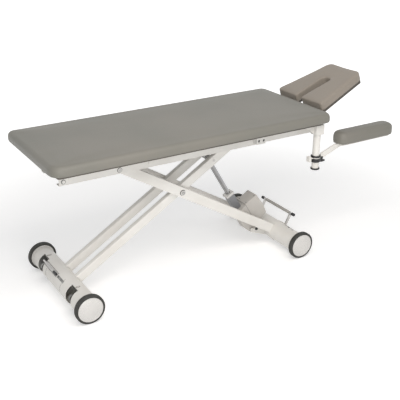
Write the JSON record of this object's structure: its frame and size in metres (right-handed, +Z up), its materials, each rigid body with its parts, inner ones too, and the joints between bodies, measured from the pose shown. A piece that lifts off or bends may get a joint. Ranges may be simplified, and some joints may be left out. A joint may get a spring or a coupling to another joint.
{
  "type": "treatment table",
  "caption": "Electric scissor-lift treatment table with a padded top, a tilting head section with a breathing slot, one armrest on a post and two wheeled base tubes.",
  "frame": {"origin": "on the floor under the centre of the bounding box", "axes": "+Z up, +X toward the head section, -Y toward the armrest side"},
  "size_m": [2.148, 0.704, 0.9858],
  "materials": {
    "white_paint": "warm white powder coat",
    "grey_upholstery": "grey-green vinyl upholstery",
    "taupe_upholstery": "pinkish taupe vinyl upholstery",
    "dark_rubber": "matt",
    "black_plastic": "satin",
    "pearl_plastic": "pearl grey, glossy",
    "bright_steel": "satin",
    "grey_metal": "dark zinc",
    "housing_plastic": "warm grey housing",
    "plywood": "raw birch ply"
  },
  "bodies": {
    "head_base": {"head_base_tube": "white_paint", "head_ring_near": "dark_rubber", "head_ring_far": "dark_rubber", "head_cap_near": "pearl_plastic", "head_cap_far": "pearl_plastic", "head_bulkhead_near": "grey_metal", "head_bulkhead_far": "grey_metal", "actuator_bracket": "white_paint"},
    "pedal": {"pedal_frame": "bright_steel", "pedal_grip": "grey_metal", "pedal_cap_near": "black_plastic", "pedal_cap_far": "black_plastic"},
    "head_castor_near": {"head_castor_near": "dark_rubber"},
    "head_castor_far": {"head_castor_far": "dark_rubber"},
    "outer_arms": {"outer_arm_near": "white_paint", "outer_arm_far": "white_paint", "centre_pivot_near": "bright_steel", "centre_pivot_far": "bright_steel"},
    "inner_arms": {"inner_arm_near": "white_paint", "inner_arm_far": "white_paint", "actuator_cross_pin": "bright_steel", "foot_base_tube": "white_paint", "foot_bulkhead_near": "grey_metal", "foot_bulkhead_far": "grey_metal"},
    "slide_roller_near": {"slide_roller_near": "black_plastic"},
    "slide_roller_far": {"slide_roller_far": "black_plastic"},
    "foot_lever": {"foot_lever_frame": "bright_steel", "foot_lever_tip": "black_plastic"},
    "foot_castor_near": {"foot_castor_near": "dark_rubber"},
    "foot_castor_far": {"foot_castor_far": "dark_rubber"},
    "foot_wheel_near": {"foot_ring_near": "dark_rubber", "foot_cap_near": "pearl_plastic"},
    "foot_wheel_far": {"foot_ring_far": "dark_rubber", "foot_cap_far": "pearl_plastic"},
    "deck": {"rail_near": "white_paint", "rail_far": "white_paint", "upper_pivot_near": "bright_steel", "upper_pivot_far": "bright_steel", "cross_member_1": "white_paint", "cross_member_2": "white_paint", "cross_member_3": "white_paint", "cross_member_4": "white_paint", "head_end_frame": "white_paint", "carrier_bar_near": "white_paint", "carrier_bar_far": "white_paint", "main_board": "plywood", "main_pad": "grey_upholstery", "armrest_holder": "white_paint", "armrest_post": "white_paint", "post_cap": "black_plastic", "head_hinge_pin": "bright_steel"},
    "head_section": {"head_board": "plywood", "head_pad": "taupe_upholstery"},
    "arm_sleeve": {"arm_sleeve": "black_plastic"},
    "clamp_lever": {"clamp_lever": "black_plastic"},
    "armrest": {"arm_bar": "white_paint", "arm_pad": "grey_upholstery"},
    "actuator_rod": {"actuator_rod": "bright_steel"},
    "actuator_housing": {"actuator_housing": "housing_plastic", "spindle_tube": "grey_metal"}
  },
  "joints": [
    {"name": "lift", "type": "hinge", "parent": "head_base", "child": "outer_arms", "pos_m": [0.38311, 0, 0.079], "axis": [0, 1, 0], "range_deg": [-18, 6]},
    {"name": "scissor_centre", "type": "hinge", "parent": "outer_arms", "child": "inner_arms", "pos_m": [-0.27604, 0, 0.47567], "axis": [0, 1, 0], "range_deg": [-12.5, 36.5]},
    {"name": "deck_pivot", "type": "hinge", "parent": "outer_arms", "child": "deck", "pos_m": [-0.642, 0, 0.68248], "axis": [0, 1, 0], "range_deg": [-6.5, 18.5]},
    {"name": "roller_near_spin", "type": "hinge", "parent": "inner_arms", "child": "slide_roller_near", "pos_m": [0.08993, -0.1, 0.68248], "axis": [0, 1, 0], "continuous": true},
    {"name": "roller_far_spin", "type": "hinge", "parent": "inner_arms", "child": "slide_roller_far", "pos_m": [0.08993, 0.1, 0.68248], "axis": [0, 1, 0], "continuous": true},
    {"name": "foot_wheel_near_spin", "type": "hinge", "parent": "inner_arms", "child": "foot_wheel_near", "pos_m": [-0.93519, -0.33, 0.079], "axis": [0, 1, 0], "continuous": true},
    {"name": "foot_wheel_far_spin", "type": "hinge", "parent": "inner_arms", "child": "foot_wheel_far", "pos_m": [-0.93519, 0.33, 0.079], "axis": [0, 1, 0], "continuous": true},
    {"name": "foot_lever_swing", "type": "hinge", "parent": "inner_arms", "child": "foot_lever", "pos_m": [-0.90519, 0, 0.059], "axis": [0, 1, 0], "range_deg": [-62, 0]},
    {"name": "foot_castor_near_spin", "type": "hinge", "parent": "foot_lever", "child": "foot_castor_near", "pos_m": [-0.96815, -0.195, 0.08192], "axis": [0, 1, 0], "continuous": true},
    {"name": "foot_castor_far_spin", "type": "hinge", "parent": "foot_lever", "child": "foot_castor_far", "pos_m": [-0.96815, 0.195, 0.08192], "axis": [0, 1, 0], "continuous": true},
    {"name": "pedal_swing", "type": "hinge", "parent": "head_base", "child": "pedal", "pos_m": [0.35311, 0, 0.059], "axis": [0, 1, 0], "range_deg": [0, 62]},
    {"name": "head_castor_near_spin", "type": "hinge", "parent": "pedal", "child": "head_castor_near", "pos_m": [0.41607, -0.195, 0.08192], "axis": [0, 1, 0], "continuous": true},
    {"name": "head_castor_far_spin", "type": "hinge", "parent": "pedal", "child": "head_castor_far", "pos_m": [0.41607, 0.195, 0.08192], "axis": [0, 1, 0], "continuous": true},
    {"name": "head_tilt", "type": "hinge", "parent": "deck", "child": "head_section", "pos_m": [0.578, 0, 0.76848], "axis": [0, -1, 0], "range_deg": [-30, 10]},
    {"name": "armrest_height", "type": "slide", "parent": "deck", "child": "arm_sleeve", "axis": [0, 0, 1], "range_m": [-0.01, 0.04]},
    {"name": "armrest_swing", "type": "hinge", "parent": "arm_sleeve", "child": "armrest", "pos_m": [0.513, -0.26, 0.57248], "axis": [0, 0, 1], "range_deg": [-100, 3]},
    {"name": "clamp_lever_turn", "type": "hinge", "parent": "arm_sleeve", "child": "clamp_lever", "pos_m": [0.553, -0.26, 0.54248], "axis": [0, 0, 1], "range_deg": [-60, 0]},
    {"name": "actuator_pivot", "type": "hinge", "parent": "inner_arms", "child": "actuator_rod", "pos_m": [-0.0572, 0, 0.60735], "axis": [0, 1, 0], "range_deg": [-43.97, 14.99]},
    {"name": "actuator_stroke", "type": "slide", "parent": "actuator_rod", "child": "actuator_housing", "axis": [0.5041, 0, -0.8636], "range_m": [-0.1823, 0.0621]}
  ],
  "couplings": [
    {"joint": "scissor_centre", "follows": "lift", "ratio": -2},
    {"joint": "deck_pivot", "follows": "lift", "ratio": -1},
    {"joint": "actuator_pivot", "follows": "lift", "ratio": 2.415},
    {"joint": "actuator_stroke", "follows": "lift", "m_per_rad": 0.574}
  ]
}
